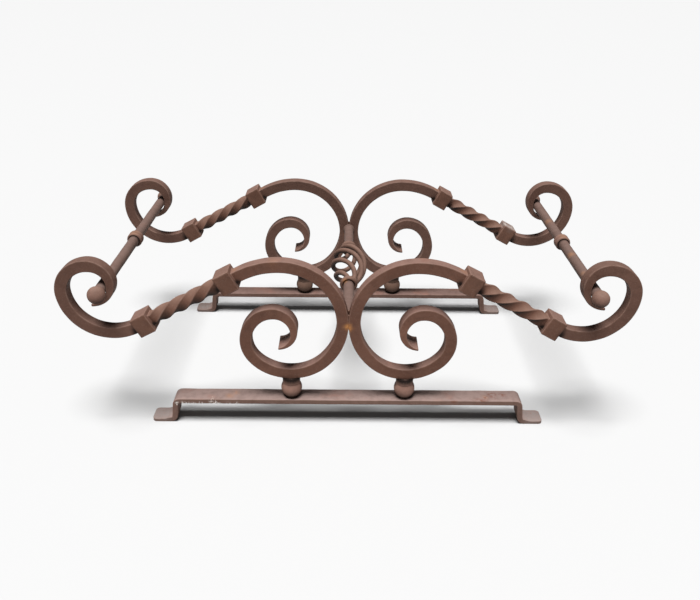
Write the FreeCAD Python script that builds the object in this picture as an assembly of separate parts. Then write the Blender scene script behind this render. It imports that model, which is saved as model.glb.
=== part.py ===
import FreeCAD, Part
import math
import os

# Wrought-iron scrollwork stand: two identical scroll frames, one behind the other, on strap feet,
# joined by two side rods and a centre rod with a basket twist. Millimetres, +Z up, +X along the
# frames, +Y from front to back. The origin is on the ground, midway between the frames.

V = FreeCAD.Vector

# --- bar stock -----------------------------------------------------------------------------------
bar = 25.0                       # square bar of the scrolls and twists
frame_spacing = 511.0            # centre plane of the front frame to that of the rear frame

# --- inner scroll: a big C that runs over an arch to the upper collar ------------------------------
# Arcs are (radius of the centre line, turn in degrees), in the order in which the bar runs.
arch_arcs = [(130.0, 90.0), (170.0, 28.8)]                     # from the centre, up and outwards
curl_arcs = [(134.0, 45.0), (103.0, 90.0), (71.5, 90.0), (55.0, 45.0)]   # from the centre, down and round
curl_tail_arcs = [(43.5, 90.0), (32.0, 92.0)]                  # the drawn-out end of the curl
inner_straight = 10.25           # straight bar between the arch and the upper collar
curl_tip_thickness = 4.0
curl_tip_width = 54.0            # the thin end is spread wider than the bar
curl_thinning = 1.3              # power of the taper along the tail
curl_spread = 1.6
section_spacing = 11.0           # between the lofted sections of a tail

# --- outer scroll ------------------------------------------------------------------------------------
outer_arcs = [(106.0, 28.8), (93.0, 90.0), (61.0, 90.0)]
outer_tail_arcs = [(42.0, 90.0), (45.0, 88.0)]
outer_straight = 0.5             # straight bar between the lower collar and the first arc
outer_tip_thickness = 5.0
outer_tip_width = 30.0
outer_thinning = 1.3
outer_spread = 2.0

# --- twisted bar and collars ---------------------------------------------------------------------------
collar_width = 44.5
collar_length = 36.5
collar_edge = 2.0                # eased edges of a collar
twist_length = 158.0
twist_turn = -360.0              # one full left-hand turn
twist_plain_end = 5.25           # untwisted bar that shows beside each collar

# --- foot rails and balls ----------------------------------------------------------------------------------
rail_width = 42.0
rail_thickness = 11.5
rail_top = 61.0                  # height of the rail's upper face
rail_half_length = 391.5         # centre to the outer face of the leg, at its lower bend
rail_bend_radius = 10.0          # centre line of the strap
rail_bend_turn = 83.0
tab_length = 45.5
tab_corner = 9.0
tab_thickness = 7.5              # the tab is hammered thinner than the strap
tab_ramp = 12.0
ball_diameter = 46.0
ball_seat = 16.0                 # flat under the ball, where it rests on the rail
neck_diameter = 38.0             # the short stub between the ball and the scroll
neck_rise = 5.74                 # from the top of the ball to the scroll

# --- side rods ------------------------------------------------------------------------------------------------
side_rod_diameter = 23.0
side_rod_seat_turn = 20.0        # how far round the tail the rod lies, past its most inward point
side_rod_clearance = 0.11        # least gap between a rod and the tail that carries it
finial_diameter = 36.0
finial_reach = 25.0              # from the frame's outer face to the middle of the finial
knop_diameter = 35.0
knop_groove_diameter = 29.0
knop_length = 27.0

# --- centre rod with its basket --------------------------------------------------------------------------------
centre_rod_diameter = 24.0
centre_rod_rise = 7.0            # above the point where the two C scrolls touch
ring_diameter = 41.0
ring_width = 14.0
basket_length = 192.0            # between the facing sides of the two rings
basket_diameter = 89.0
basket_offset = 12.0             # the basket sits this much nearer to the rear frame
basket_wire = 12.5
basket_wires = 4
wire_sides = 8                   # facets round a wire
basket_turn = 360.0              # how far each wire winds round the axis
basket_first_angle = 5.0         # where the first wire leaves the front ring
basket_wire_gap = 0.5            # between two wires where they meet a ring

os.makedirs("parts", exist_ok=True)


def save(name, shape):
    """Write one sub-part."""
    shape.exportStep("parts/" + name + ".step")


def at(x, z, y=0.0):
    return V(x, y, z)


# --- plane paths: a path is a list of runs, and each run knows its ends and headings --------------------------
def walk(x, z, heading, runs):
    """Follow straight lengths and arcs in the X-Z plane. A run is (None, length) or (radius, turn)."""
    path = []
    for radius, amount in runs:
        if radius is None:
            a = math.radians(heading)
            x2 = x + amount * math.cos(a)
            z2 = z + amount * math.sin(a)
            path.append(dict(radius=None, start=(x, z), end=(x2, z2), heading=heading, turn=0.0, length=amount))
        else:
            side = 1.0 if amount > 0 else -1.0
            a = math.radians(heading)
            b = math.radians(heading + amount)
            cx = x - side * radius * math.sin(a)
            cz = z + side * radius * math.cos(a)
            x2 = cx + side * radius * math.sin(b)
            z2 = cz - side * radius * math.cos(b)
            path.append(dict(radius=radius, centre=(cx, cz), start=(x, z), end=(x2, z2), heading=heading,
                             turn=amount, length=radius * abs(b - a)))
            heading += amount
        x, z = x2, z2
    return path


def place_on(run, share):
    """Point and heading at a share, 0 to 1, of a run."""
    if run["radius"] is None:
        x = run["start"][0] + share * (run["end"][0] - run["start"][0])
        z = run["start"][1] + share * (run["end"][1] - run["start"][1])
        return x, z, run["heading"]
    heading = run["heading"] + share * run["turn"]
    side = 1.0 if run["turn"] > 0 else -1.0
    a = math.radians(heading)
    x = run["centre"][0] + side * run["radius"] * math.sin(a)
    z = run["centre"][1] - side * run["radius"] * math.cos(a)
    return x, z, heading


def beside(x, z, heading, offset):
    """Point at a distance to the left of the heading."""
    a = math.radians(heading)
    return at(x - offset * math.sin(a), z + offset * math.cos(a))


def edge_along(run, offset):
    """The edge that runs beside one run, at an offset to its left."""
    first, middle, last = [beside(*place_on(run, share), offset) for share in (0.0, 0.5, 1.0)]
    if run["radius"] is None:
        return Part.LineSegment(first, last).toShape()
    return Part.Arc(first, middle, last).toShape()


def strip(path, thickness, width):
    """A bar of even thickness along a path, centred on the X-Z plane."""
    half = thickness / 2
    left = [edge_along(run, half) for run in path]
    right = [edge_along(run, -half) for run in path]
    start = place_on(path[0], 0.0)
    end = place_on(path[-1], 1.0)
    caps = [Part.LineSegment(beside(*start, half), beside(*start, -half)).toShape(),
            Part.LineSegment(beside(*end, half), beside(*end, -half)).toShape()]
    outline = Part.Wire(Part.__sortEdges__(left + right + caps))
    solid = Part.Face(outline).extrude(V(0, width, 0))
    solid.translate(V(0, -width / 2, 0))
    return solid


def tail_size(share, tip_thickness, tip_width, thinning, spread):
    """Thickness and width of a drawn-out tail at a share of its length."""
    thickness = bar - (bar - tip_thickness) * share ** thinning
    width = bar + (tip_width - bar) * share ** spread
    return thickness, width


def tail(path, tip_thickness, tip_width, thinning, spread):
    """The thin, spread end of a scroll, as a loft of rectangles across the path."""
    total = sum(run["length"] for run in path)
    sections = []
    done = 0.0
    for run in path:
        steps = max(2, int(round(run["length"] / section_spacing)))
        first = 0 if run is path[0] else 1
        for i in range(first, steps + 1):
            x, z, heading = place_on(run, i / steps)
            share = (done + run["length"] * i / steps) / total
            thickness, width = tail_size(share, tip_thickness, tip_width, thinning, spread)
            corners = []
            for side, deep in ((1, -1), (1, 1), (-1, 1), (-1, -1)):
                p = beside(x, z, heading, side * thickness / 2)
                corners.append(V(p.x, deep * width / 2, p.z))
            sections.append(Part.makePolygon(corners + corners[:1]))
        done += run["length"]
    return Part.makeLoft(sections, True, False)


def joined(*solids):
    """One solid from pieces that share a face."""
    whole = solids[0].fuse(list(solids[1:])).removeSplitter()
    return whole.Solids[0]


def quarter_copies(shape):
    """The four copies of a piece of the right-hand half of a frame: both frames, both sides."""
    for side in ("left", "right"):
        turned = shape if side == "right" else shape.mirror(V(0, 0, 0), V(1, 0, 0))
        for row, y in (("front", -frame_spacing / 2), ("rear", frame_spacing / 2)):
            copy = turned.copy()
            copy.translate(V(0, y, 0))
            yield row + "_" + side, copy


# --- lay out the frame, from the ground up ----------------------------------------------------------------------
ball_middle = math.sqrt((ball_diameter / 2) ** 2 - (ball_seat / 2) ** 2)
ball_height = ball_middle + ball_diameter / 2 + neck_rise
scroll_bottom = rail_top + ball_height
lowest_drop = 0.0                # centre line: from the touching point down to the lowest point of the C
lowest_x = bar / 2
seen = 270.0
for radius, turn in curl_arcs:
    part_turn = min(turn, 360.0 - seen)
    if part_turn > 0:
        a, b = math.radians(seen), math.radians(seen + part_turn)
        lowest_x += radius * (math.sin(b) - math.sin(a))
        lowest_drop += radius * (math.cos(b) - math.cos(a))
    seen += turn
touch_height = scroll_bottom + bar / 2 + lowest_drop

arch = walk(bar / 2, touch_height, 90.0, [(radius, -turn) for radius, turn in arch_arcs])
arch += walk(*arch[-1]["end"], arch[-1]["heading"] + arch[-1]["turn"], [(None, inner_straight + collar_length / 2)])
twist_heading = arch[-1]["heading"]
upper_collar = arch[-1]["end"]

curl = walk(bar / 2, touch_height, 270.0, curl_arcs)
curl_end = curl[-1]["end"]
curl_tail = walk(*curl_end, 270.0 + sum(turn for radius, turn in curl_arcs), curl_tail_arcs)

collar_spacing = twist_length + 2 * twist_plain_end + collar_length
along = V(math.cos(math.radians(twist_heading)), 0, math.sin(math.radians(twist_heading)))
lower_collar = (upper_collar[0] + collar_spacing * along.x, upper_collar[1] + collar_spacing * along.z)

outer = walk(*lower_collar, twist_heading, [(None, collar_length / 2 + outer_straight)] + outer_arcs)
outer_tail = walk(*outer[-1]["end"], outer[-1]["heading"] + outer[-1]["turn"], outer_tail_arcs)


# --- foot rails ---------------------------------------------------------------------------------------------------
def foot_rail():
    """A strap joggled down at each end to a flat tab with rounded corners."""
    bend = math.radians(rail_bend_turn)
    drop = rail_top - rail_thickness
    leg = (drop - 2 * rail_bend_radius * (1 - math.cos(bend))) / math.sin(bend)
    bend_run = rail_bend_radius * math.sin(bend)
    leg_foot = rail_half_length - rail_thickness / 2
    half_flat = leg_foot - leg * math.cos(bend) - bend_run
    tab = tab_length + rail_thickness / 2 - bend_run
    half = [(None, half_flat), (rail_bend_radius, -rail_bend_turn), (None, leg),
            (rail_bend_radius, rail_bend_turn), (None, tab)]
    path = walk(0.0, rail_top - rail_thickness / 2, 0.0, half)
    right = strip(path, rail_thickness, rail_width)
    left = right.mirror(V(0, 0, 0), V(1, 0, 0))
    rail = joined(right, left)
    reach = rail.BoundBox.XMax
    ramp_start = reach - tab
    for side in (-1, 1):
        above = [(ramp_start, rail_thickness), (ramp_start + tab_ramp, tab_thickness),
                 (reach + tab, tab_thickness), (reach + tab, rail_thickness)]
        corners = [V(side * x, -rail_width, z) for x, z in above]
        shaving = Part.Face(Part.makePolygon(corners + corners[:1])).extrude(V(0, 2 * rail_width, 0))
        rail = rail.cut(shaving)
    rail = rail.Solids[0]
    corners = [edge for edge in rail.Edges
               if abs(abs(edge.CenterOfMass.x) - reach) < 1e-3 and edge.BoundBox.ZLength > tab_thickness / 2]
    return rail.makeFillet(tab_corner, corners)


def foot_ball():
    """A ball on the rail, with a short neck that carries the scroll."""
    radius = ball_diameter / 2
    ball = Part.makeSphere(radius, V(0, 0, ball_middle))
    above_rail = Part.makeBox(ball_diameter, ball_diameter, 2 * ball_diameter, V(-radius, -radius, 0))
    neck = Part.makeCylinder(neck_diameter / 2, ball_height - ball_middle, V(0, 0, ball_middle))
    whole = joined(ball.common(above_rail), neck)
    whole.translate(V(lowest_x, 0, rail_top))
    return whole


rail = foot_rail()
for row, y in (("front", -frame_spacing / 2), ("rear", frame_spacing / 2)):
    placed = rail.copy()
    placed.translate(V(0, y, 0))
    save("foot_rail_" + row, placed)
for place, ball in quarter_copies(foot_ball()):
    save("foot_ball_" + place, ball)


# --- scrolls ----------------------------------------------------------------------------------------------------------
def inner_scroll():
    # The arch was laid out from the centre outwards, and the C from the centre down.
    upper = strip(arch, bar, bar)
    lower = strip(curl, bar, bar)
    end = tail(curl_tail, curl_tip_thickness, curl_tip_width, curl_thinning, curl_spread)
    return joined(upper, lower, end)


def outer_scroll():
    body = strip(outer, bar, bar)
    end = tail(outer_tail, outer_tip_thickness, outer_tip_width, outer_thinning, outer_spread)
    return joined(body, end)


for place, scroll in quarter_copies(inner_scroll()):
    save("inner_scroll_" + place, scroll)
for place, scroll in quarter_copies(outer_scroll()):
    save("outer_scroll_" + place, scroll)


# --- collars and twisted bars -------------------------------------------------------------------------------------------
def collar(centre):
    """A square sleeve over the joint of two bars, in line with the twisted bar."""
    block = Part.makeBox(collar_length, collar_width, collar_width,
                         V(-collar_length / 2, -collar_width / 2, -collar_width / 2))
    block = block.makeFillet(collar_edge, block.Edges)
    hole = Part.makeBox(2 * collar_length, bar, bar, V(-collar_length, -bar / 2, -bar / 2))
    sleeve = block.cut(hole)
    sleeve.rotate(V(0, 0, 0), V(0, 1, 0), -twist_heading)
    sleeve.translate(at(*centre))
    return sleeve.Solids[0]


def square_at(distance, turn):
    """Outline of the bar across the X axis, turned about it."""
    half = bar / 2
    corners = []
    for y, z in ((-half, -half), (half, -half), (half, half), (-half, half)):
        a = math.radians(turn)
        corners.append(V(distance, y * math.cos(a) - z * math.sin(a), y * math.sin(a) + z * math.cos(a)))
    return Part.makePolygon(corners + corners[:1])


def twisted_bar():
    """Square bar twisted by a full turn, with plain ends that fill half of each collar."""
    steps = 20
    plain = collar_length / 2 + twist_plain_end
    sections = [square_at(plain + twist_length * i / steps, twist_turn * i / steps) for i in range(steps + 1)]
    middle = Part.makeLoft(sections, True, False)
    first = Part.makeBox(plain, bar, bar, V(0, -bar / 2, -bar / 2))
    last = Part.makeBox(plain, bar, bar, V(plain + twist_length, -bar / 2, -bar / 2))
    return joined(first, middle, last)


for name, centre in (("upper_collar_", upper_collar), ("lower_collar_", lower_collar)):
    for place, sleeve in quarter_copies(collar(centre)):
        save(name + place, sleeve)

# Every twist has the same hand, so the left-hand bars are turned copies, not mirrored ones.
twist = twisted_bar()
for side in ("left", "right"):
    for row, y in (("front", -frame_spacing / 2), ("rear", frame_spacing / 2)):
        placed = twist.copy()
        if side == "right":
            placed.rotate(V(0, 0, 0), V(0, 1, 0), -twist_heading)
            placed.translate(at(upper_collar[0], upper_collar[1], y))
        else:
            placed.rotate(V(0, 0, 0), V(0, 1, 0), -(180.0 - twist_heading))
            placed.translate(at(-upper_collar[0], upper_collar[1], y))
        save("twisted_bar_" + row + "_" + side, placed)


# --- side rods, knops and finials ------------------------------------------------------------------------------------------
def rod_seat():
    """Centre of the side rod: it lies against the inside of the outer scroll's tail."""
    total = sum(run["length"] for run in outer_tail)
    checks = 120
    inside = []
    done = 0.0
    for run in outer_tail:
        for i in range(checks + 1):
            x, z, heading = place_on(run, i / checks)
            share = (done + run["length"] * i / checks) / total
            thickness, width = tail_size(share, outer_tip_thickness, outer_tip_width, outer_thinning, outer_spread)
            inside.append(beside(x, z, heading, thickness / 2))
        done += run["length"]
    run = outer_tail[1]
    x, z, heading = place_on(run, side_rod_seat_turn / run["turn"])
    reach = side_rod_diameter / 2 + side_rod_clearance
    offset = reach
    for attempt in range(8):
        seat = beside(x, z, heading, offset)
        offset += reach - min(seat.distanceToPoint(point) for point in inside)
    return seat.x, seat.z


def along_y(shape):
    """Turn a piece made along +Z so that it lies along +Y."""
    shape.rotate(V(0, 0, 0), V(1, 0, 0), -90)
    return shape


def finial():
    """A ball that caps the rod, with a flat seat of the rod's diameter. Made at the front, rod towards +Y."""
    radius = finial_diameter / 2
    seat = math.sqrt(radius ** 2 - (side_rod_diameter / 2) ** 2)
    ball = Part.makeSphere(radius)
    keep = Part.makeBox(finial_diameter, radius + seat, finial_diameter, V(-radius, -radius, -radius))
    return ball.common(keep).Solids[0], seat


def knop():
    """Two turned beads side by side, bored for the rod. Made along +Y about its middle."""
    radius = knop_diameter / 2
    groove = knop_groove_diameter / 2
    bore = side_rod_diameter / 2
    quarter = knop_length / 4
    profile = [Part.LineSegment(V(bore, 0, -2 * quarter), V(groove, 0, -2 * quarter)).toShape(),
               Part.Arc(V(groove, 0, -2 * quarter), V(radius, 0, -quarter), V(groove, 0, 0)).toShape(),
               Part.Arc(V(groove, 0, 0), V(radius, 0, quarter), V(groove, 0, 2 * quarter)).toShape(),
               Part.LineSegment(V(groove, 0, 2 * quarter), V(bore, 0, 2 * quarter)).toShape(),
               Part.LineSegment(V(bore, 0, 2 * quarter), V(bore, 0, -2 * quarter)).toShape()]
    ring = Part.Face(Part.Wire(profile)).revolve(V(0, 0, 0), V(0, 0, 1), 360)
    return along_y(ring)


rod_x, rod_z = rod_seat()
ball_cap, cap_seat = finial()
frame_face = frame_spacing / 2 + bar / 2
finial_y = frame_face + finial_reach
rod_end = finial_y - cap_seat
for side, x in (("left", -rod_x), ("right", rod_x)):
    rod = along_y(Part.makeCylinder(side_rod_diameter / 2, 2 * rod_end))
    rod.translate(at(x, rod_z, -rod_end))
    save("side_rod_" + side, rod)
    bead = knop()
    bead.translate(at(x, rod_z))
    save("side_knop_" + side, bead)
    front = ball_cap.copy()
    front.translate(at(x, rod_z, -finial_y))
    save("finial_front_" + side, front)
    rear = ball_cap.copy()
    rear.rotate(V(0, 0, 0), V(0, 0, 1), 180)
    rear.translate(at(x, rod_z, finial_y))
    save("finial_rear_" + side, rear)


# --- centre rods, rings and basket -------------------------------------------------------------------------------------------
centre_z = touch_height + centre_rod_rise
inner_face = frame_spacing / 2 - bar / 2
half_basket = basket_length / 2
front_ring_front = basket_offset - half_basket - ring_width
rear_ring_front = basket_offset + half_basket


def ring_collar():
    """A rounded ring that closes one end of the basket, as a solid disc with a bulging rim, along +Y."""
    radius = ring_diameter / 2
    rim = radius - ring_width / 4
    profile = [Part.LineSegment(V(0, 0, 0), V(rim, 0, 0)).toShape(),
               Part.Arc(V(rim, 0, 0), V(radius, 0, ring_width / 2), V(rim, 0, ring_width)).toShape(),
               Part.LineSegment(V(rim, 0, ring_width), V(0, 0, ring_width)).toShape(),
               Part.LineSegment(V(0, 0, ring_width), V(0, 0, 0)).toShape()]
    ring = Part.Face(Part.Wire(profile)).revolve(V(0, 0, 0), V(0, 0, 1), 360)
    return along_y(ring)


def wire_point(share, first_angle):
    """Centre of a basket wire at a share of the basket's length."""
    widest = (basket_diameter - basket_wire) / 2
    end_radius = (basket_wire + basket_wire_gap) / 2 / math.sin(math.pi / basket_wires)
    bulge = math.sin(math.pi * share)
    radius = end_radius + (widest - end_radius) * bulge
    a = math.radians(first_angle + basket_turn * share)
    return V(radius * math.cos(a), basket_offset + basket_length * (share - 0.5), radius * math.sin(a))


def wire_section(centre, direction):
    """A many-sided ring across a wire, its first corner always on the side away from the basket's axis."""
    out = V(centre.x, 0, centre.z)
    side = direction.cross(out).normalize()
    out = side.cross(direction).normalize()
    corners = []
    for i in range(wire_sides):
        a = 2 * math.pi * i / wire_sides
        corners.append(centre + (out * math.cos(a) + side * math.sin(a)) * (basket_wire / 2))
    return Part.makePolygon(corners + corners[:1])


def basket_strand(first_angle):
    """One round wire that winds round the axis and bulges, ending flat on the two rings."""
    steps = 30
    step = 0.01
    sections = []
    for i in range(steps + 1):
        share = i / steps
        centre = wire_point(share, first_angle)
        if i in (0, steps):
            direction = V(0, 1, 0)
        else:
            direction = wire_point(share + step, first_angle) - wire_point(share - step, first_angle)
        sections.append(wire_section(centre, direction))
    return Part.makeLoft(sections, True, False)


rods = (("front", -inner_face, front_ring_front), ("rear", rear_ring_front + ring_width, inner_face))
for row, first, last in rods:
    rod = along_y(Part.makeCylinder(centre_rod_diameter / 2, last - first))
    rod.translate(at(0, centre_z, first))
    save("centre_rod_" + row, rod)
for row, first in (("front", front_ring_front), ("rear", rear_ring_front)):
    ring = ring_collar()
    ring.translate(at(0, centre_z, first))
    save("basket_ring_" + row, ring)
for i in range(basket_wires):
    strand = basket_strand(basket_first_angle + 360.0 * i / basket_wires)
    strand.translate(at(0, centre_z))
    save("basket_wire_%d" % (i + 1), strand)
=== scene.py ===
"""Looks of the wrought-iron scrollwork stand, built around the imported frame. Metres, +Z up."""
import math

import bpy
from mathutils import Matrix, Vector, noise


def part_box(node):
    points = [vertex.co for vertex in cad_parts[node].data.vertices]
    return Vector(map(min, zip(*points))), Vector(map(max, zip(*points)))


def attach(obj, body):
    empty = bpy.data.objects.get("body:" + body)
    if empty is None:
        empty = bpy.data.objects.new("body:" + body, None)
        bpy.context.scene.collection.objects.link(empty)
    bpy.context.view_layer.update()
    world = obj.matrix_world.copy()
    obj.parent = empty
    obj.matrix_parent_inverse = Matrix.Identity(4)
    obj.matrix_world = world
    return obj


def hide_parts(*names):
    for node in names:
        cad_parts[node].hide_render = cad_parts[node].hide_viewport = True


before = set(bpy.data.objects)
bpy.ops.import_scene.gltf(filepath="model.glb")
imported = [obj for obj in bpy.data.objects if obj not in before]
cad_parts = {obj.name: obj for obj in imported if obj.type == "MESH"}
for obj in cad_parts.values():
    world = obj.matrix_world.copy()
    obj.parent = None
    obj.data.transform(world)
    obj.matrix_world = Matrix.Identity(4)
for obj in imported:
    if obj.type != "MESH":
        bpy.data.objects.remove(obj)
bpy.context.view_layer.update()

MM = 0.001
TAU = 2 * math.pi

# --- the scroll's line: arcs of (centre-line radius in millimetres, turn in degrees) --------------
ARCH_ARCS = ((130, 90), (170, 28.8))                    # from the centre, up and outwards
CURL_ARCS = ((134, 45), (103, 90), (71.5, 90), (55, 45))
CURL_TAIL_ARCS = ((43.5, 90), (32, 92))
OUTER_ARCS = ((106, 28.8), (93, 90), (61, 90))
OUTER_TAIL_ARCS = ((42, 90), (45, 88))
CURL_TAIL = dict(tip_thickness=4 * MM, tip_width=54 * MM, thinning=1.3, spread=1.6)
OUTER_TAIL = dict(tip_thickness=5 * MM, tip_width=30 * MM, thinning=1.3, spread=2.0)

# --- stock and joints -----------------------------------------------------------------------------
BAR = 25 * MM
BAR_EDGE = 1.5 * MM                                     # worn round of the bar's corners
COLLAR_LENGTH = 36.5 * MM
COLLAR_WIDTH = 44.5 * MM
COLLAR_EDGE = 1.3 * MM
INNER_STRAIGHT = 10.25 * MM                             # of bar, from an upper collar to the arch
OUTER_STRAIGHT = 0.5 * MM                               # of bar, from a lower collar to the outer scroll
BEND_AT_TOUCH = 132 * MM                                # of the centre line, where the two Cs touch
WELD_REACH = 1.4 * MM                                   # of the bead round a bar, along it and outwards
WELD_SINK = 0.6 * MM                                    # of the same bead, into the collar
CENTRE_WELD_BELOW = 14 * MM                             # the line where the two Cs touch
CENTRE_WELD_ABOVE = 21 * MM
CENTRE_WELD_DEPTH = 2.4 * MM                            # of the bead's middle, behind the bars' faces
RIPPLE = 3.2 * MM                                       # from one ripple of a weld bead to the next
TWIST_LENGTH = 158 * MM
TWIST_PLAIN = 5.25 * MM                                 # of square bar, between the twist and a collar
TWIST_TURN = -360
TWIST_EDGE = 2.4 * MM
STRAP = 11.5 * MM                                       # thickness of the foot rail
STRAP_EDGE = 1.2 * MM
STRAP_BEND = 10 * MM
STRAP_BEND_TURN = 83
TAB_LENGTH = 45.5 * MM
TAB_CORNER = 9 * MM
TAB_THICKNESS = 7.5 * MM
TAB_RAMP = 12 * MM                                      # over which the strap thins to the tab
NECK = 19 * MM                                          # radius of the foot ball's neck
NECK_FILLET = 2.5 * MM
BALL_FLAT = 8 * MM                                      # radius of the flat under a foot ball
BASKET_WIRE = 11.7 * MM
BASKET_TURN = 360
BASKET_END_RADIUS = 9.2 * MM
BASKET_BULGE = 38.25 * MM
BASKET_FIRST_ANGLE = 5
BASKET_SINK = 5 * MM                                    # of the wires' ends, into the rings
ROD_FLANGE = 3 * MM                                     # spread of a centre rod's end against its frame
KNOP_CREVICE = 2.2 * MM                                 # between a knop's end and its rod
RING_GROOVE = 3.5 * MM                                  # between a basket ring's end and its rod

UP = Vector((0, 0, 1))
BACK = Vector((0, 1, 0))


def centre_of(node):
    low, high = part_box(node)
    return (low + high) / 2


def size_of(node):
    low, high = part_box(node)
    return high - low


ROWS = (("front", centre_of("foot_rail_front").y), ("rear", centre_of("foot_rail_rear").y))
SIDES = (("left", -1), ("right", 1))


# --- plane paths ----------------------------------------------------------------------------------
class Path:
    """A line of straight lengths and arcs in the X-Z plane, read by distance along it."""

    def __init__(self, x, z, heading):
        self.runs = []
        self.end = (x, z, heading)
        self.length = 0.0

    def straight(self, length):
        return self._add(length, None)

    def arc(self, radius, turn):
        return self._add(radius * math.radians(abs(turn)), math.copysign(radius, turn))

    def arcs(self, arcs, hand=1):
        for radius, turn in arcs:
            self.arc(radius * MM, hand * turn)
        return self

    def _add(self, length, radius):
        self.runs.append((self.length, length, radius, self.end))
        self.length += length
        self.end = self.at(self.length)
        return self

    def at(self, distance):
        """x, z and heading in degrees at a distance from the start."""
        run = next((r for r in self.runs if distance <= r[0] + r[1]), self.runs[-1])
        start, length, radius, (x, z, heading) = run
        along = distance - start
        a = math.radians(heading)
        if radius is None:
            return x + along * math.cos(a), z + along * math.sin(a), heading
        b = a + along / radius
        return x + radius * (math.sin(b) - math.sin(a)), z - radius * (math.cos(b) - math.cos(a)), math.degrees(b)


def touch_height():
    """Height of the point where the two C scrolls of a frame touch."""
    curl = Path(0, 0, 270).arcs(CURL_ARCS)
    lowest = min(curl.at(curl.length * i / 400)[1] for i in range(401))
    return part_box("inner_scroll_front_right")[0].z + BAR / 2 - lowest


TOUCH_Z = touch_height()
ARCH = Path(BAR / 2, TOUCH_Z, 90).arcs(ARCH_ARCS, -1).straight(INNER_STRAIGHT + COLLAR_LENGTH / 2)
SLOPE = ARCH.end[2]
DOWN_SLOPE = Vector((math.cos(math.radians(SLOPE)), 0, math.sin(math.radians(SLOPE))))
OFF_SLOPE = Vector((-DOWN_SLOPE.z, 0, DOWN_SLOPE.x))    # square to it, upwards and outwards
UPPER_COLLAR = Vector((ARCH.end[0], 0, ARCH.end[1]))
LOWER_COLLAR = UPPER_COLLAR + DOWN_SLOPE * (TWIST_LENGTH + 2 * TWIST_PLAIN + COLLAR_LENGTH)

INNER = Path(UPPER_COLLAR.x, UPPER_COLLAR.z, SLOPE + 180).straight(INNER_STRAIGHT + COLLAR_LENGTH / 2)
INNER.arcs(reversed(ARCH_ARCS)).arcs(CURL_ARCS)
INNER_PLAIN = INNER.length
INNER.arcs(CURL_TAIL_ARCS)

OUTER = Path(LOWER_COLLAR.x, LOWER_COLLAR.z, SLOPE).straight(COLLAR_LENGTH / 2 + OUTER_STRAIGHT).arcs(OUTER_ARCS)
OUTER_PLAIN = OUTER.length
OUTER.arcs(OUTER_TAIL_ARCS)


# --- mesh building --------------------------------------------------------------------------------
FLAT_SHARES = (0.05, 0.35, 0.65, 0.95)
CORNER_STEPS = 4
LATHE_SIDES = 48
HAMMER_SIZE = 30 * MM                                   # from one hammered dent to the next
HAMMER_SHIFTS = (Vector((0, 0, 0)), Vector((31, 0, 0)), Vector((0, 47, 0)))


def rounded_rectangle(half_u, half_v, corner):
    """Points (u, v, edge mask) round a rectangle with eased corners. The edge mask, for edge wear and painted
    highlight, is 1 on the corners.
    """
    corner = min(corner, 0.48 * half_u, 0.48 * half_v)
    arcs = []
    for quarter in range(4):
        cu = (half_u - corner) * (1, -1, -1, 1)[quarter]
        cv = (half_v - corner) * (1, 1, -1, -1)[quarter]
        arc = []
        for i in range(CORNER_STEPS + 1):
            a = math.pi / 2 * (quarter + i / CORNER_STEPS)
            arc.append((cu + corner * math.cos(a), cv + corner * math.sin(a), 1.0))
        arcs.append(arc)
    points = []
    for quarter in range(4):
        points += arcs[quarter]
        u1, v1, w = arcs[quarter][-1]
        u2, v2, w = arcs[(quarter + 1) % 4][0]
        for share in FLAT_SHARES:
            points.append((u1 + (u2 - u1) * share, v1 + (v2 - v1) * share, 0.0))
    return points


def circle(radius, sides=40):
    return [(radius * math.cos(TAU * i / sides), radius * math.sin(TAU * i / sides), 0.0) for i in range(sides)]


def hammered(point, amount, seed):
    """The point with a small shift, smooth over the surface and different for each piece."""
    p = point / HAMMER_SIZE + Vector((seed * 7.31, seed * 3.17, seed * 5.77))
    return point + Vector([noise.noise(p + shift) for shift in HAMMER_SHIFTS]) * amount


def tube(name, rings):
    """A mesh through rings of (point, wear), with its ends closed."""
    count = len(rings[0])
    points = [p for ring in rings for p, w in ring]
    wear_and_highlight = [w for ring in rings for p, w in ring]
    faces = []
    for r in range(len(rings) - 1):
        low, high = r * count, (r + 1) * count
        for i in range(count):
            j = (i + 1) % count
            faces.append((low + i, low + j, high + j, high + i))
    last = (len(rings) - 1) * count
    for base, flip in ((0, True), (last, False)):
        hub = len(points)
        points.append(sum(points[base:base + count], Vector()) / count)
        wear_and_highlight.append(0.0)
        for i in range(count):
            j = (i + 1) % count
            faces.append((base + j, base + i, hub) if flip else (base + i, base + j, hub))
    mesh = bpy.data.meshes.new(name)
    mesh.from_pydata([tuple(p) for p in points], [], faces)
    mesh.update()
    mesh.attributes.new("wear_and_highlight", "FLOAT", "POINT").data.foreach_set("value", wear_and_highlight)
    return mesh


def sweep(name, length, step, station, section, seed, ease=1.5 * MM, amount=0.3 * MM, extra=()):
    """A bar along a line, its ends eased and its surface hammered by an amount.

    station(distance) gives origin, U and V; section(distance, inset) gives (u, v, wear) round the bar. extra
    is more distances, where the line needs them.
    """
    count = max(4, int(round(length / step)))
    inner = [length * i / count for i in range(1, count)]
    inner = [d for d in inner if 1.5 * ease < d < length - 1.5 * ease] + list(extra)
    stops = [(0.0, 2.2 * ease), (0.0, ease), (0.3 * ease, 0.3 * ease), (ease, 0.0)]
    stops += [(d, 0.0) for d in sorted(inner)]
    stops += [(length - ease, 0.0), (length - 0.3 * ease, 0.3 * ease), (length, ease), (length, 2.2 * ease)]
    rings = []
    for distance, inset in stops:
        origin, u_axis, v_axis = station(distance)
        ring = []
        for u, v, wear_and_highlight in section(distance, inset):
            p = origin + u_axis * u + v_axis * v
            ring.append((hammered(p, amount, seed), 1.0 if inset in (ease, 0.3 * ease) else wear_and_highlight))
        rings.append(ring)
    return tube(name, rings)


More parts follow.
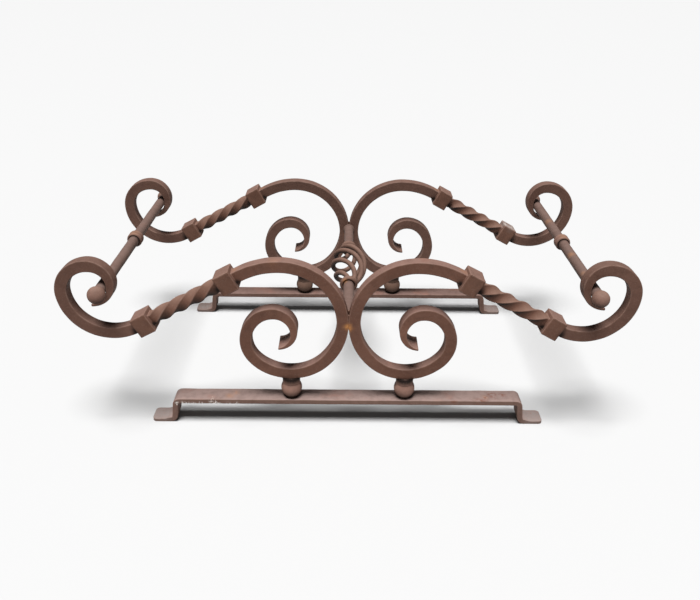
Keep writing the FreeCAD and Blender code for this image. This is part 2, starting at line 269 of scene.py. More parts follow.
def lathe(name, profile, origin, axis, amount, seed):
    """A turned piece. profile is (radius, distance along the axis) from one end to the other."""
    axis = Vector(axis).normalized()
    u_axis = axis.orthogonal().normalized()
    v_axis = axis.cross(u_axis)
    rings = []
    for radius, along in profile:
        ring = []
        for u, v, wear_and_highlight in circle(radius, LATHE_SIDES):
            p = origin + axis * along + u_axis * u + v_axis * v
            ring.append((hammered(p, amount, seed), wear_and_highlight))
        rings.append(ring)
    return tube(name, rings)


def profile_arc(radius, along, size, first, last, steps):
    """Points of (radius, along) round a circle in a turned profile. Angles are from the radius direction."""
    out = []
    for i in range(steps + 1):
        a = math.radians(first + (last - first) * i / steps)
        out.append((max(1e-5, radius + size * math.cos(a)), along + size * math.sin(a)))
    return out


# --- marks on the paint, and pieces ---------------------------------------------------------------
MARK_KINDS = ("rust", "dust", "dark", "stain", "chip")
MARKS = {kind: [] for kind in MARK_KINDS}               # (point, reach, strength), filled by note_marks
MARK_FADE = 1.2                                         # power by which a mark fades towards its reach
RING_STEPS = 28


def mark(kind, point, reach, strength=1.0):
    MARKS[kind].append((Vector(point), reach, strength))


def mark_ring(kind, middle, radius, across, reach, strength):
    """Marks all round a circle. across is the second direction of its plane; the first is X."""
    for step in range(RING_STEPS):
        a = TAU * step / RING_STEPS
        mark(kind, middle + Vector((math.cos(a), 0, 0)) * radius + across * radius * math.sin(a), reach, strength)


def mark_values(mesh, kind):
    """How strongly each vertex is marked: the strongest of the marks that reach it."""
    values = [0.0] * len(mesh.vertices)
    places = [vertex.co for vertex in mesh.vertices]
    low = [min(p[i] for p in places) for i in range(3)]
    high = [max(p[i] for p in places) for i in range(3)]
    for point, reach, strength in MARKS[kind]:
        if all(low[i] - reach < point[i] < high[i] + reach for i in range(3)):
            for n, place in enumerate(places):
                share = (place - point).length / reach
                if share < 1:
                    values[n] = max(values[n], strength * (1 - share) ** MARK_FADE)
    return values


def add_piece(name, mesh, material, replaced):
    """Adds a finished mesh to the scene, riding on the frame, in place of the CAD nodes in replaced, if any."""
    for kind in MARK_KINDS:
        mesh.attributes.new(kind, "FLOAT", "POINT").data.foreach_set("value", mark_values(mesh, kind))
    mesh.polygons.foreach_set("use_smooth", [True] * len(mesh.polygons))
    mesh.materials.append(material)
    obj = bpy.data.objects.new(name, mesh)
    bpy.context.scene.collection.objects.link(obj)
    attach(obj, "root")
    if replaced:
        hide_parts(*replaced)


# --- stations -------------------------------------------------------------------------------------
def on_path(path, y, side):
    """Station along a plane path. U is left of the heading, and side -1 is the mirrored half."""
    def station(distance):
        x, z, heading = path.at(distance)
        a = math.radians(heading)
        return Vector((side * x, y, z)), Vector((-side * math.sin(a), 0, math.cos(a))), Vector((0, -side, 0))
    return station


def on_line(start, direction, up, turn=lambda d: 0.0):
    """Station along a straight line, with the section turned about it."""
    direction = direction.normalized()
    u0 = (up - direction * up.dot(direction)).normalized()
    v0 = direction.cross(u0)

    def station(distance):
        a = math.radians(turn(distance))
        u_axis = u0 * math.cos(a) + v0 * math.sin(a)
        return start + direction * distance, u_axis, direction.cross(u_axis)
    return station


# --- scrolls --------------------------------------------------------------------------------------
def scroll_section(plain, length, tail, seed):
    """Section of a scroll: square bar up to a plain length, then drawn out thin and wide to its tip."""
    def section(distance, inset):
        share = max(0.0, (distance - plain) / (length - plain))
        thickness = BAR - (BAR - tail["tip_thickness"]) * share ** tail["thinning"]
        width = BAR + (tail["tip_width"] - BAR) * share ** tail["spread"]
        edge = BAR_EDGE * (1 + 0.4 * noise.noise(Vector((distance * 35, seed, 0))))
        inset = min(inset, 0.3 * thickness)
        return rounded_rectangle(thickness / 2 - inset, width / 2 - inset, edge)
    return section


def make_scroll(node, path, plain, tail, y, side, seed):
    section = scroll_section(plain, path.length, tail, seed)
    mesh = sweep(node + "_forged", path.length, 4.5 * MM, on_path(path, y, side), section, seed=seed)
    # The rear row's scrolls get a darker copy of the paint, as painted shade; the outer scrolls get one with tops
    # painted darker, as painted shade.
    paint = "scroll_rear" if y > 0 else "outer" if node.startswith("outer") else "scroll"
    add_piece(node + "_forged", mesh, PAINT[paint], [node])


# --- collars and twisted bars ---------------------------------------------------------------------
def place_slope(local, y, side):
    """A point of the right-hand half, moved to its row and side."""
    return Vector((side * local.x, local.y + y, local.z))


def slope_line(middle, behind, away, y, side, turn=lambda d: 0.0):
    """Station along the slope of the twists, from a distance behind a middle. away 1 is down the slope."""
    along = Vector((side * DOWN_SLOPE.x, 0, DOWN_SLOPE.z)) * away
    return on_line(place_slope(middle, y, side) - along * behind, along, UP, turn)


def make_collar(node, middle, y, side, seed):
    station = slope_line(middle, COLLAR_LENGTH / 2, 1, y, side)
    half = COLLAR_WIDTH / 2

    def section(distance, inset):
        return rounded_rectangle(half - inset, half - inset, COLLAR_EDGE)

    mesh = sweep(node + "_block", COLLAR_LENGTH, 4 * MM, station, section, seed, ease=COLLAR_EDGE,
                 amount=0.55 * MM)
    add_piece(node + "_block", mesh, PAINT["collar"], [node])


def make_twist(node, y, side, seed):
    plain = COLLAR_LENGTH / 2 + TWIST_PLAIN
    length = TWIST_LENGTH + 2 * plain

    def turn(distance):
        share = min(1.0, max(0.0, (distance - plain) / TWIST_LENGTH))
        return TWIST_TURN * share

    def section(distance, inset):
        return rounded_rectangle(BAR / 2 - inset, BAR / 2 - inset, TWIST_EDGE)

    station = slope_line(UPPER_COLLAR, 0, 1, y, side, turn)
    mesh = sweep(node + "_bar", length, 1.6 * MM, station, section, seed)
    add_piece(node + "_bar", mesh, PAINT["twist"], [node])


def make_bar_weld(name, middle, away, y, side, seed):
    """A thin bead round the square bar where it leaves a collar."""
    length = WELD_REACH + WELD_SINK

    def section(distance, inset):
        swell = WELD_REACH * math.sqrt(max(0.0, 1 - (distance / length) ** 2))
        ripple = 0.25 * MM * math.sin(distance * 900)
        return rounded_rectangle(BAR / 2 + swell + ripple, BAR / 2 + swell + ripple, BAR_EDGE + swell)

    station = slope_line(middle, WELD_SINK - COLLAR_LENGTH / 2, away, y, side)
    mesh = sweep(name, length, 0.5 * MM, station, section, seed, ease=0.1 * MM, amount=0.8 * MM)
    add_piece(name, mesh, PAINT["collar"], [])


# --- foot rails and balls -------------------------------------------------------------------------
def strap_path(tip_run, top):
    """The foot rail's line: a tab on the floor, a leg up, the flat, and the same down again. Gives the tab too."""
    bend = math.radians(STRAP_BEND_TURN)
    leg = (top - STRAP - 2 * STRAP_BEND * (1 - math.cos(bend))) / math.sin(bend)
    tab = TAB_LENGTH + STRAP / 2 - STRAP_BEND * math.sin(bend)
    half_flat = tip_run - tab - leg * math.cos(bend) - 2 * STRAP_BEND * math.sin(bend)
    path = Path(-tip_run, STRAP / 2, 0).straight(tab).arc(STRAP_BEND, STRAP_BEND_TURN).straight(leg)
    path.arc(STRAP_BEND, -STRAP_BEND_TURN).straight(2 * half_flat).arc(STRAP_BEND, -STRAP_BEND_TURN)
    return path.straight(leg).arc(STRAP_BEND, STRAP_BEND_TURN).straight(tab), tab


def make_foot_rail(node, seed):
    low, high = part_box(node)
    path, tab = strap_path(high.x, high.z)
    width = high.y - low.y
    base = on_path(path, (low.y + high.y) / 2, 1)

    def thinned(distance):
        to_tip = min(distance, path.length - distance)
        share = min(1.0, max(0.0, (tab - to_tip) / TAB_RAMP))
        return STRAP - (STRAP - TAB_THICKNESS) * share

    def station(distance):
        origin, u_axis, v_axis = base(distance)
        return origin - u_axis * (STRAP - thinned(distance)) / 2, u_axis, v_axis

    def section(distance, inset):
        to_tip = min(distance, path.length - distance)
        narrow = 0.0
        if to_tip < TAB_CORNER:
            narrow = TAB_CORNER - math.sqrt(max(0.0, TAB_CORNER ** 2 - (TAB_CORNER - to_tip) ** 2))
        inset = min(inset, 0.2 * TAB_THICKNESS)
        return rounded_rectangle(thinned(distance) / 2 - inset, width / 2 - narrow - inset, STRAP_EDGE)

    near_tips = [TAB_CORNER * (i / 8) ** 1.6 for i in range(2, 9)]
    bends = []
    for start, length, radius, end in path.runs:
        if radius:
            bends += [start + length * i / 8 for i in range(9)]
    extra = near_tips + [path.length - d for d in near_tips] + bends
    mesh = sweep(node + "_strap", path.length, 5 * MM, station, section, seed, ease=0.8 * MM,
                 amount=0.35 * MM, extra=extra)
    # The rear rail gets a darker copy of the paint, as painted shade.
    paint = "rail_rear" if node.endswith("rear") else "rail"
    add_piece(node + "_strap", mesh, PAINT[paint], [node])


def make_foot_ball(node, seed):
    low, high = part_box(node)
    origin = Vector(((low.x + high.x) / 2, (low.y + high.y) / 2, low.z))
    radius = (high.x - low.x) / 2
    middle = math.sqrt(radius ** 2 - BALL_FLAT ** 2)
    top = high.z - low.z
    neck_angle = math.degrees(math.acos((NECK - 1 * MM) / radius))
    foot_angle = -math.degrees(math.asin(middle / radius))
    start = middle + radius * math.sin(math.radians(neck_angle))
    profile = [(13 * MM, 0.2 * MM), (11.5 * MM, 1.2 * MM)]
    profile += profile_arc(0, middle, radius, foot_angle + 12, neck_angle, 24)
    profile += [(NECK - 0.2 * MM, start + 0.6 * MM), (NECK, start + 1.5 * MM), (NECK, top - NECK_FILLET),
                (NECK + 0.8 * MM, top - 0.4 * NECK_FILLET), (NECK + NECK_FILLET, top + 0.3 * MM)]
    mesh = lathe(node + "_turned", profile, origin, UP, 0.5 * MM, seed)
    # Front foot balls get a lighter copy of the ball paint, as painted light; rear ones a darker copy, as painted
    # shade.
    paint = "foot_ball_rear" if "rear" in node else "foot_ball"
    add_piece(node + "_turned", mesh, PAINT[paint], [node])


# --- side rods ------------------------------------------------------------------------------------
def make_side_rod(side_name, seed):
    node = "side_rod_" + side_name
    low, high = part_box(node)
    origin = Vector(((low.x + high.x) / 2, low.y, (low.z + high.z) / 2))
    radius = (high.x - low.x) / 2
    station = on_line(origin, BACK, UP)

    def section(distance, inset):
        return circle(radius - inset)

    mesh = sweep(node + "_bar", high.y - low.y, 5 * MM, station, section, seed, amount=0.4 * MM)
    add_piece(node + "_bar", mesh, PAINT["rod"], [node])


def mirrored(near, length):
    """The far end of a turned piece's profile, the same as its near end."""
    return [(radius, length - along) for radius, along in reversed(near)]


def make_knop(node, rod_radius, seed):
    low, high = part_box(node)
    origin = centre_of(node) - Vector((0, (high.y - low.y) / 2, 0))
    length = high.y - low.y
    bead = length / 4
    centre = (high.x - low.x) / 2 - bead
    near = [(rod_radius - 1 * MM, KNOP_CREVICE), (rod_radius + 0.7 * MM, KNOP_CREVICE),
            (rod_radius + 1.2 * MM, 0.5 * KNOP_CREVICE)]
    profile = near + profile_arc(centre, bead, bead, -78, 66, 14)
    profile += profile_arc(centre, 3 * bead, bead, -66, 78, 14) + mirrored(near, length)
    mesh = lathe(node + "_beads", profile, origin, BACK, 0.4 * MM, seed)
    add_piece(node + "_beads", mesh, PAINT["ball"], [node])


def make_finial(node, row, rod_radius, seed):
    low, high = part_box(node)
    radius = (high.z - low.z) / 2
    outward = -1 if row == "front" else 1
    tip = low.y if row == "front" else high.y
    middle = Vector(((low.x + high.x) / 2, tip - outward * radius, (low.z + high.z) / 2))
    seat = math.sqrt(radius ** 2 - rod_radius ** 2)
    seat_angle = math.degrees(math.asin(seat / radius))
    profile = [(rod_radius - 1 * MM, -seat - 3 * MM), (rod_radius + 0.3 * MM, -seat - 1.8 * MM),
               (rod_radius + 1.0 * MM, -seat - 0.4 * MM)]
    profile += profile_arc(0, 0, radius, -seat_angle + 6, 89.5, 24)
    mesh = lathe(node + "_turned", profile, middle, BACK * outward, 0.5 * MM, seed)
    add_piece(node + "_turned", mesh, PAINT["ball"], [node])


# --- centre rods and basket -----------------------------------------------------------------------
def make_centre_rod(row, seed):
    node = "centre_rod_" + row
    low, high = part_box(node)
    radius = (high.x - low.x) / 2
    length = high.y - low.y
    plain = length - 5 * MM
    steps = 24
    outward = -1 if row == "front" else 1
    start = high.y if row == "front" else low.y
    origin = Vector((0, start, (low.z + high.z) / 2))
    profile = [(radius, plain * i / steps) for i in range(steps + 1)]
    profile += [(radius + 0.3 * ROD_FLANGE, plain + 1 * MM), (radius + 0.8 * ROD_FLANGE, plain + 1.6 * MM),
                (radius + ROD_FLANGE, plain + 2.6 * MM), (radius + ROD_FLANGE, length)]
    mesh = lathe(node + "_bar", profile, origin, BACK * outward, 0.4 * MM, seed)
    add_piece(node + "_bar", mesh, PAINT["rod"], [node])


def make_basket_ring(node, rod_radius, seed):
    low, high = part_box(node)
    origin = Vector((0, low.y, (low.z + high.z) / 2))
    width = high.y - low.y
    bead = width / 2
    centre = (high.x - low.x) / 2 - bead
    near = [(rod_radius - 1 * MM, RING_GROOVE), (rod_radius + 0.8 * MM, RING_GROOVE),
            (rod_radius + 1.6 * MM, 0.3 * RING_GROOVE)]
    profile = near + profile_arc(centre, bead, bead, -72, 72, 16) + mirrored(near, width)
    mesh = lathe(node + "_bead", profile, origin, BACK, 0.5 * MM, seed)
    add_piece(node + "_bead", mesh, PAINT["basket"], [node])


def make_basket_wire(number, count, seed):
    node = "basket_wire_%d" % number
    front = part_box("basket_ring_front")[1].y
    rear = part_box("basket_ring_rear")[0].y
    z = centre_of("basket_ring_front").z
    length = rear - front
    first = BASKET_FIRST_ANGLE + 360 * (number - 1) / count

    def point(share):
        bulge = math.sin(math.pi * min(1.0, max(0.0, share)))
        radius = BASKET_END_RADIUS + (BASKET_BULGE - BASKET_END_RADIUS) * bulge
        a = math.radians(first + BASKET_TURN * share)
        return Vector((radius * math.cos(a), front + length * share, z + radius * math.sin(a)))

    def station(distance):
        share = (distance - BASKET_SINK) / length
        origin = point(share)
        direction = (point(share + 0.004) - point(share - 0.004)).normalized()
        out = Vector((origin.x, 0, origin.z - z))
        u_axis = (out - direction * out.dot(direction)).normalized()
        return origin, u_axis, direction.cross(u_axis)

    def section(distance, inset):
        return circle(BASKET_WIRE / 2 - inset, 20)

    mesh = sweep(node + "_round", length + 2 * BASKET_SINK, 3 * MM, station, section, seed, ease=0.5 * MM)
    add_piece(node + "_round", mesh, PAINT["basket"], [node])


def make_centre_weld(row, y, seed):
    """Beads in the grooves in front of and behind the line where the two C scrolls touch."""
    def section(distance, inset):
        gap = (distance - CENTRE_WELD_BELOW) ** 2 / (2 * (BEND_AT_TOUCH + BAR / 2))
        ripple = 0.3 * MM * math.sin(distance * TAU / RIPPLE)
        wide = max(0.3 * MM, gap + 0.9 * MM + ripple - inset)
        thick = max(0.3 * MM, 1.7 * MM + 0.5 * ripple - inset)
        return [(u * wide, v * thick, wear_and_highlight) for u, v, wear_and_highlight in circle(1.0, 14)]

    for face, offset in (("near", -1), ("far", 1)):
        name = "centre_weld_%s_%s" % (row, face)
        bottom = Vector((0, y + offset * (BAR / 2 - CENTRE_WELD_DEPTH), TOUCH_Z - CENTRE_WELD_BELOW))
        mesh = sweep(name, CENTRE_WELD_BELOW + CENTRE_WELD_ABOVE, 0.8 * MM, on_line(bottom, UP, Vector((1, 0, 0))),
                     section, seed, ease=0.4 * MM)
        add_piece(name, mesh, PAINT["twist"], [])


# --- materials ------------------------------------------------------------------------------------
def node_at(tree, kind, **values):
    node = tree.nodes.new(kind)
    for key, value in values.items():
        setattr(node, key, value)
    return node


def feed(tree, node, values):
    """Gives inputs of a node their values, each a socket or a constant. values maps an input to a value."""
    for key, value in values.items():
        if isinstance(value, bpy.types.NodeSocket):
            tree.links.new(value, node.inputs[key])
        else:
            node.inputs[key].default_value = value


def mix(tree, factor, a, b):
    """The colour a, changed to b by a factor."""
    node = node_at(tree, "ShaderNodeMix", data_type="RGBA")
    feed(tree, node, {0: factor, 6: a, 7: b})
    return node.outputs[2]


def times(tree, a, b):
    """The product, kept to 0..1."""
    node = node_at(tree, "ShaderNodeMath", operation="MULTIPLY", use_clamp=True)
    feed(tree, node, {0: a, 1: b})
    return node.outputs[0]


def stretch(tree, value, low, high, to_low=0.0, to_high=1.0):
    """A value between two levels, moved to lie between two others."""
    node = node_at(tree, "ShaderNodeMapRange", clamp=True)
    feed(tree, node, {"Value": value, "From Min": low, "From Max": high, "To Min": to_low, "To Max": to_high})
    return node.outputs["Result"]


def spots(tree, scale, low, high, offset=0.0, detail=4.0):
    """Noise over the surface, stretched to 0..1 between two levels. Each offset gives another pattern."""
    coords = node_at(tree, "ShaderNodeTexCoord").outputs["Object"]
    shift = node_at(tree, "ShaderNodeVectorMath", operation="ADD")
    feed(tree, shift, {0: coords, 1: (offset, offset * 0.7, offset * 1.3)})
    texture = node_at(tree, "ShaderNodeTexNoise")
    feed(tree, texture, {"Vector": shift.outputs[0], "Scale": scale, "Detail": detail, "Roughness": 0.6})
    return stretch(tree, texture.outputs["Fac"], low, high)


def bump(tree, height, strength, distance):
    node = node_at(tree, "ShaderNodeBump")
    feed(tree, node, {"Height": height, "Strength": strength, "Distance": distance})
    return node


def attribute(tree, name):
    return node_at(tree, "ShaderNodeAttribute", attribute_name=name).outputs["Fac"]


def rgb(r, g, b):
    """A colour given as it looks on screen, 0 to 255, as linear values."""
    def linear(c):
        c /= 255
        return c / 12.92 if c <= 0.04045 else ((c + 0.055) / 1.055) ** 2.4
    return linear(r), linear(g), linear(b), 1.0


DEEP_SHADE = rgb(66, 47, 39)
# Painted shade for downward faces.
PAINTED_UNDERSIDE_SHADE = rgb(34, 24, 20)
PALE_SPECKLE = rgb(134, 112, 102)
# Lighter colour along the corners: edge wear and painted highlight.
EDGE_WEAR_AND_HIGHLIGHT = rgb(150, 124, 112)
RED_WEAR = rgb(138, 92, 76)
# The top colour is partly weathered paint, partly painted light and shade on the tops.
FACING_UP = (0.2, 0.9)                                  # of the normal's Z, where the top colour comes in
# Where the painted underside shade comes in, by the normal's Z.
FACING_DOWN = (-0.05, -0.65)                            # the same for the underside's
TOP_SHARE = 0.9                                         # how much of each colour shows at most
SHADE_SHARE = 0.30
SPECKLE_SHARE = 0.30
EDGE_SHARE = 0.32

# Each kind of mark: its colour, a gain on its strength, and the noise that breaks up its edge.
MARK_LOOKS = (
    ("dust", rgb(138, 130, 126), 1.0, dict(scale=240, low=0.2, high=0.62, offset=13)),
    ("rust", rgb(186, 128, 76), 1.6, dict(scale=110, low=0.24, high=0.46, offset=29)),
    # dark: painted shade and shadow, at seats, necks, crevices and beside the collars.
    ("dark", rgb(40, 30, 26), 1.3, dict(scale=90, low=0.05, high=0.35, offset=43)),
    ("stain", rgb(112, 64, 46), 1.4, dict(scale=190, low=0.44, high=0.56, offset=53)),
    ("chip", rgb(226, 218, 210), 3.0, dict(scale=300, low=0.52, high=0.56, offset=23)),
)


def iron_paint(name, light, dark, top, redness=0.0, under=0.85):
    """Matt rust-brown paint on iron: mottled; a top colour on upward faces, partly weathered paint and partly
    painted light and shade; paler along edges, from edge wear and painted highlight; darker below, as painted
    shade; and marked.
    """
    material = bpy.data.materials.new(name)
    material.use_nodes = True
    tree = material.node_tree
    shader = tree.nodes["Principled BSDF"]
    split = node_at(tree, "ShaderNodeSeparateXYZ")
    feed(tree, split, {0: node_at(tree, "ShaderNodeNewGeometry").outputs["Normal"]})
    faces_up = stretch(tree, split.outputs["Z"], *FACING_UP)
    faces_down = stretch(tree, split.outputs["Z"], *FACING_DOWN)

    colour = mix(tree, spots(tree, 9, 0.35, 0.68), dark, light)
    # Top colour on upward faces: partly weathered paint, partly painted light and shade.
    colour = mix(tree, times(tree, faces_up, TOP_SHARE), colour, top)
    if redness:
        warm = times(tree, spots(tree, 16, 0.56, 0.74, offset=11), redness)
        colour = mix(tree, times(tree, warm, faces_up), colour, RED_WEAR)
    shade = times(tree, spots(tree, 70, 0.45, 0.75, offset=3), SHADE_SHARE)
    colour = mix(tree, shade, colour, DEEP_SHADE)
    speckle = times(tree, spots(tree, 420, 0.55, 0.75, offset=5, detail=2), SPECKLE_SHARE)
    colour = mix(tree, speckle, colour, PALE_SPECKLE)
    # Edge wear and painted highlight along the corners.
    edge = times(tree, attribute(tree, "wear_and_highlight"), spots(tree, 60, 0.34, 0.6, offset=7))
    colour = mix(tree, times(tree, edge, EDGE_SHARE), colour, EDGE_WEAR_AND_HIGHLIGHT)
    # Painted shade on downward faces.
    colour = mix(tree, times(tree, faces_down, under), colour, PAINTED_UNDERSIDE_SHADE)
    for kind, marked, gain, breaks in MARK_LOOKS:
        strength = times(tree, attribute(tree, kind), gain)
        colour = mix(tree, times(tree, strength, spots(tree, **breaks)), colour, marked)

    dents = bump(tree, spots(tree, 90, 0.3, 0.7, offset=41, detail=3), 0.35, 0.6 * MM)
    grain = bump(tree, spots(tree, 650, 0.3, 0.7, offset=37, detail=3), 0.3, 0.2 * MM)
    feed(tree, grain, {"Normal": dents.outputs["Normal"]})
    rough = stretch(tree, spots(tree, 45, 0.3, 0.7, offset=31), 0.0, 1.0, 0.62, 0.82)
    feed(tree, shader, {"Base Color": colour, "Roughness": rough, "Specular IOR Level": 0.12,
                        "Normal": grain.outputs["Normal"]})
    return material


# Light and dark tone of the faces, colour of the tops, and any other setting that differs.
PAINT_TONES = {
    "scroll": ((116, 82, 68), (104, 72, 59), (126, 99, 90), dict(redness=0.35)),
    # outer: tops painted darker than the faces, as painted shade.
    "outer": ((112, 82, 70), (100, 72, 61), (103, 79, 70), dict(redness=0.2)),
    # scroll_rear: darker copy of the scroll paint, as painted shade.
    "scroll_rear": ((107, 79, 68), (97, 71, 61), (110, 85, 76), dict(redness=0.2)),
    # under=1.0 on the twist and the basket: full painted shade on their undersides.
    "twist": ((108, 76, 63), (96, 67, 55), (119, 92, 80), dict(under=1.0)),
    "collar": ((113, 81, 67), (102, 72, 59), (122, 95, 85), dict()),
    "rail": ((126, 99, 88), (113, 88, 78), (143, 123, 117), dict(redness=0.5)),
    # rail_rear: darker copy of the rail paint, as painted shade.
    "rail_rear": ((114, 88, 78), (102, 78, 69), (118, 95, 88), dict(redness=0.5)),
    "rod": ((111, 89, 80), (98, 77, 69), (108, 88, 81), dict(redness=0.2)),
    "ball": ((131, 100, 88), (117, 88, 77), (124, 98, 87), dict(redness=0.3)),
    # foot_ball: lighter than ball, as painted light; foot_ball_rear: darker, as painted shade.
    "foot_ball": ((146, 112, 99), (132, 101, 89), (129, 101, 90), dict(redness=0.3)),
    "foot_ball_rear": ((114, 88, 75), (102, 79, 67), (110, 87, 76), dict(redness=0.2)),
    "basket": ((110, 83, 71), (97, 72, 61), (118, 92, 81), dict(under=1.0)),
}
PAINT = {name: iron_paint("paint_" + name, rgb(*light), rgb(*dark), rgb(*top), **settings)
         for name, (light, dark, top, settings) in PAINT_TONES.items()}


# --- build the stand ------------------------------------------------------------------------------
def note_collar_shade(y, side):
    """Painted shadow on the underside of the bars, close against the collars."""
    for middle in (UPPER_COLLAR, LOWER_COLLAR):
        for away, beyond, low, reach in ((1, 3 * MM, 9 * MM, 16 * MM), (-1, 2 * MM, 12 * MM, 12 * MM)):
            spot = middle + DOWN_SLOPE * away * (COLLAR_LENGTH / 2 + beyond) - OFF_SLOPE * low
            mark("dark", place_slope(spot + Vector((0, -BAR / 2, 0)), y, side), reach, 1.4)
            mark("dark", place_slope(spot + Vector((0, BAR / 2, 0)), y, side), reach, 1.4)


def note_marks():
    """Rust, dust, stains and chips, where the paint has rusted through, weathered or come off; and dark marks,
    which are painted shade and shadow.
    """
    for row, y in ROWS:
        mark("rust", (-1.5 * MM, y - BAR / 2, TOUCH_Z - 6 * MM), 11 * MM, 0.9)
        mark("rust", (2.5 * MM, y - BAR / 2, TOUCH_Z - 11 * MM), 9 * MM, 0.6)
        for side_name, side in SIDES:
            top = UPPER_COLLAR - DOWN_SLOPE * (COLLAR_LENGTH / 2 + 3 * MM) + Vector((0, 0, BAR / 2))
            mark("rust", place_slope(top, y, side), 13 * MM, 0.18)
            note_collar_shade(y, side)
            ball_low, ball_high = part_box("foot_ball_%s_%s" % (row, side_name))
            ball_x = (ball_low.x + ball_high.x) / 2
            # Painted shade at the foot ball's seat on the rail, and painted shadow round its neck under the scroll.
            mark("dark", (ball_x, y, ball_low.z), 19 * MM)
            neck_top = Vector((ball_x, y, ball_high.z - 0.5 * MM))
            mark_ring("dark", neck_top, NECK + 1.5 * MM, BACK, 6.5 * MM, 1.5)
            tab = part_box("foot_rail_" + row)[1].x - 14 * MM
            for shift in (-14, 0, 14):
                mark("dust", (side * (tab - shift * MM), y - 8 * MM, TAB_THICKNESS), 26 * MM)
                mark("dust", (side * (tab - shift * MM), y + 8 * MM, TAB_THICKNESS), 26 * MM)
    for side_name, side in SIDES:
        knop = centre_of("side_knop_" + side_name)
        mark("rust", knop + Vector((0, -3 * MM, 17 * MM)), 15 * MM, 0.16)
        # Painted shade in the crevices where each knop meets its rod.
        for face in (-1, 1):
            edge = knop + Vector((0, face * (size_of("side_knop_" + side_name).y / 2 - 1 * MM), 0))
            mark_ring("dark", edge, size_of("side_rod_" + side_name).x / 2, UP, 4.5 * MM, 1.5)
    arch_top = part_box("inner_scroll_front_left")[1].z
    mark("rust", (-153 * MM, ROWS[0][1] - 4 * MM, arch_top - 3 * MM), 17 * MM, 0.08)
    collar_top = LOWER_COLLAR + OFF_SLOPE * COLLAR_WIDTH / 2
    for along, back in ((-12, -7), (-11, 12), (-1, -10), (9, -6), (12, 14)):
        scuff = place_slope(collar_top + DOWN_SLOPE * along * MM, ROWS[1][1] + back * MM, 1)
        mark("dust", scuff, 18 * MM, 1.2)
        mark("chip", scuff, 11 * MM, 0.36)
    ring = centre_of("basket_ring_front")
    mark("rust", ring + Vector((-8 * MM, -7 * MM, 10 * MM)), 9 * MM, 0.5)
    # Painted shade on the front ring's face, between its rim and the wires.
    mark("dark", ring + Vector((0, -7 * MM, 0)), 15.5 * MM, 1.5)

    front = ROWS[0][1]
    rail_low, rail_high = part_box("foot_rail_front")
    under = rail_high.z - 11 * MM
    for x in (-376, -363, -352, -341, -324, -303, -296, -288, -262, -245):
        mark("chip", (x * MM, rail_low.y, under), (5 + 0.03 * (x % 90)) * MM, 0.8)
    mark("chip", (-299 * MM, rail_low.y, rail_high.z - 5 * MM), 8 * MM)
    for x, depth, reach, strength in ((-262, -6, 14, 0.22), (-250, 4, 10, 0.25), (306, -8, 9, 0.2)):
        mark("rust", (x * MM, front + depth * MM, rail_high.z), reach * MM, strength)
    for x, depth, reach, strength in ((322, 3, 15, 0.9), (345, 7, 12, 0.7), (306, -9, 12, 0.7), (293, -22, 14, 0.8),
                                      (234, -22, 11, 0.6), (222, 12, 11, 0.5)):
        mark("stain", (x * MM, front + depth * MM, rail_high.z), reach * MM, strength)
    rod = centre_of("side_rod_right")
    for along, reach, strength in ((-93, 15, 0.2), (112, 17, 0.18), (-190, 12, 0.14)):
        mark("rust", (rod.x - 7 * MM, along * MM, rod.z + 9 * MM), reach * MM, strength)


def build_frames():
    seed = 0
    for row, y in ROWS:
        make_foot_rail("foot_rail_" + row, seed + 0.5)
        make_centre_weld(row, y, seed + 0.7)
        for side_name, side in SIDES:
            place = row + "_" + side_name
            seed += 1
            make_scroll("inner_scroll_" + place, INNER, INNER_PLAIN, CURL_TAIL, y, side, seed + 0.1)
            make_scroll("outer_scroll_" + place, OUTER, OUTER_PLAIN, OUTER_TAIL, y, side, seed + 0.2)
            make_collar("upper_collar_" + place, UPPER_COLLAR, y, side, seed + 0.3)
            make_collar("lower_collar_" + place, LOWER_COLLAR, y, side, seed + 0.4)
            make_twist("twisted_bar_" + place, y, side, seed + 0.5)
            make_foot_ball("foot_ball_" + place, seed + 0.6)
            for level, middle in (("upper", UPPER_COLLAR), ("lower", LOWER_COLLAR)):
                for end, away in (("in", -1), ("out", 1)):
                    make_bar_weld("weld_%s_%s_%s" % (level, place, end), middle, away, y, side,
                                  seed + 0.1 * away)


def build_rods():
    rod_radius = size_of("side_rod_left").x / 2
    for i, (side_name, side) in enumerate(SIDES):
        make_side_rod(side_name, 20 + i)
        make_knop("side_knop_" + side_name, rod_radius, 22 + i)
        for j, (row, y) in enumerate(ROWS):
            make_finial("finial_%s_%s" % (row, side_name), row, rod_radius, 24 + 2 * i + j)
    for j, (row, y) in enumerate(ROWS):
        make_centre_rod(row, 30 + j)
        make_basket_ring("basket_ring_" + row, size_of("centre_rod_front").x / 2, 32 + j)
    count = sum(1 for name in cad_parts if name.startswith("basket_wire_"))
    for number in range(1, count + 1):
        make_basket_wire(number, count, 34 + number)


# --- studio ---------------------------------------------------------------------------------------
FLOOR_REACH = 30.0
FLOOR_TONE = 0.52
ROOM_STRENGTH = 0.08
SUN_STRENGTH = 5.6
SUN_ANGLE = 28
SUN_FORWARD = 10                                        # tilt in degrees, from straight overhead
SUN_SIDEWAYS = -4


def add_floor():
    mesh = bpy.data.meshes.new("floor")
    corners = [(x * FLOOR_REACH, y * FLOOR_REACH, 0) for x, y in ((-1, -1), (1, -1), (1, 1), (-1, 1))]
    mesh.from_pydata(corners, [], [(0, 1, 2, 3)])
    floor = bpy.data.objects.new("floor", mesh)
    bpy.context.scene.collection.objects.link(floor)
    material = bpy.data.materials.new("floor_pale")
    material.use_nodes = True
    shader = material.node_tree.nodes["Principled BSDF"]
    shader.inputs["Base Color"].default_value = (FLOOR_TONE, FLOOR_TONE, FLOOR_TONE, 1)
    shader.inputs["Roughness"].default_value = 0.9
    mesh.materials.append(material)


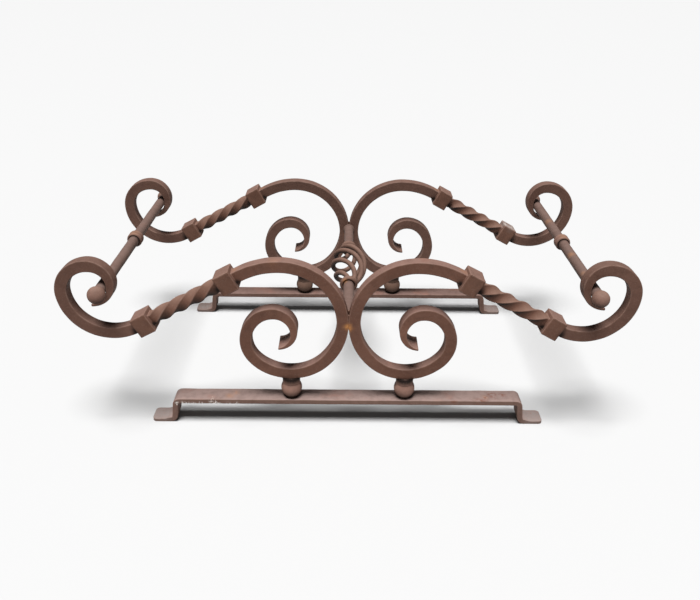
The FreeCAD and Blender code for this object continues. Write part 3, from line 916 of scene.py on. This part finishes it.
def add_light():
    """A wide soft light from nearly overhead, a little to the front, in a dim pale room."""
    world = bpy.data.worlds.new("studio")
    bpy.context.scene.world = world
    world.use_nodes = True
    background = world.node_tree.nodes["Background"]
    background.inputs["Color"].default_value = (1, 1, 1, 1)
    background.inputs["Strength"].default_value = ROOM_STRENGTH
    data = bpy.data.lights.new("overhead", "SUN")
    data.energy = SUN_STRENGTH
    data.angle = math.radians(SUN_ANGLE)
    light = bpy.data.objects.new("overhead", data)
    light.rotation_euler = (math.radians(SUN_FORWARD), math.radians(SUN_SIDEWAYS), 0)
    bpy.context.scene.collection.objects.link(light)
    bpy.context.scene.view_settings.view_transform = "Standard"


# The camera stands in front of the frames at standing height, looking down.
CAMERA_FOCAL = 36.15
CAMERA_SENSOR = 36.0
CAMERA_PITCH = 27.715
CAMERA_YAW = 0.316
CAMERA_ROLL = 0.606
CAMERA_DISTANCE = 1277.9 * MM                           # from the front frame's front face
CAMERA_HEIGHT = 978 * MM
CAMERA_LEFT = -4.7 * MM


def add_camera():
    data = bpy.data.cameras.new("camera")
    data.sensor_width = CAMERA_SENSOR
    data.lens = CAMERA_FOCAL
    data.clip_start = 0.05
    camera = bpy.data.objects.new("camera", data)
    bpy.context.scene.collection.objects.link(camera)
    front_face = ROWS[0][1] - BAR / 2
    pitch, yaw, roll = (math.radians(v) for v in (CAMERA_PITCH, CAMERA_YAW, CAMERA_ROLL))
    forward = Vector((math.sin(yaw) * math.cos(pitch), math.cos(yaw) * math.cos(pitch), -math.sin(pitch)))
    right = Vector((math.cos(yaw), -math.sin(yaw), 0))
    up = right.cross(forward)
    right, up = right * math.cos(roll) + up * math.sin(roll), up * math.cos(roll) - right * math.sin(roll)
    turn = Matrix((right, up, -forward)).transposed().to_4x4()
    camera.matrix_world = Matrix.Translation((CAMERA_LEFT, front_face - CAMERA_DISTANCE, CAMERA_HEIGHT)) @ turn
    bpy.context.scene.camera = camera


note_marks()
build_frames()
build_rods()
add_floor()
add_light()
add_camera()
